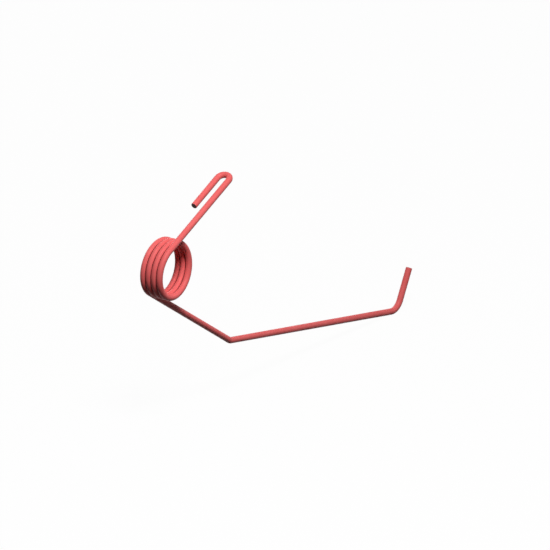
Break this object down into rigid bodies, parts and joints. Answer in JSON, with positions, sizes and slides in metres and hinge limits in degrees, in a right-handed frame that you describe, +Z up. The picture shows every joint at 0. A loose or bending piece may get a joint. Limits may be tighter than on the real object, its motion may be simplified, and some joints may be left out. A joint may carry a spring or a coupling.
{
  "type": "spring tine",
  "caption": "Bent-wire spring tine: a clamped hairpin, a close-wound torsion coil and a long arm with a slight knee and an upturned working tip.",
  "frame": {"origin": "on the coil's axis, in the middle of the coil's length", "axes": "+Y along the coil's axis from the turn with the upper leg to the turn with the arm, +X from the coil towards the working tip, +Z up"},
  "size_m": [0.5805, 0.0354, 0.3115],
  "materials": {
    "red_paint": "semi-gloss red paint over spring-steel wire"
  },
  "bodies": {
    "root": {"spring_tine": "red_paint"}
  },
  "joints": []
}
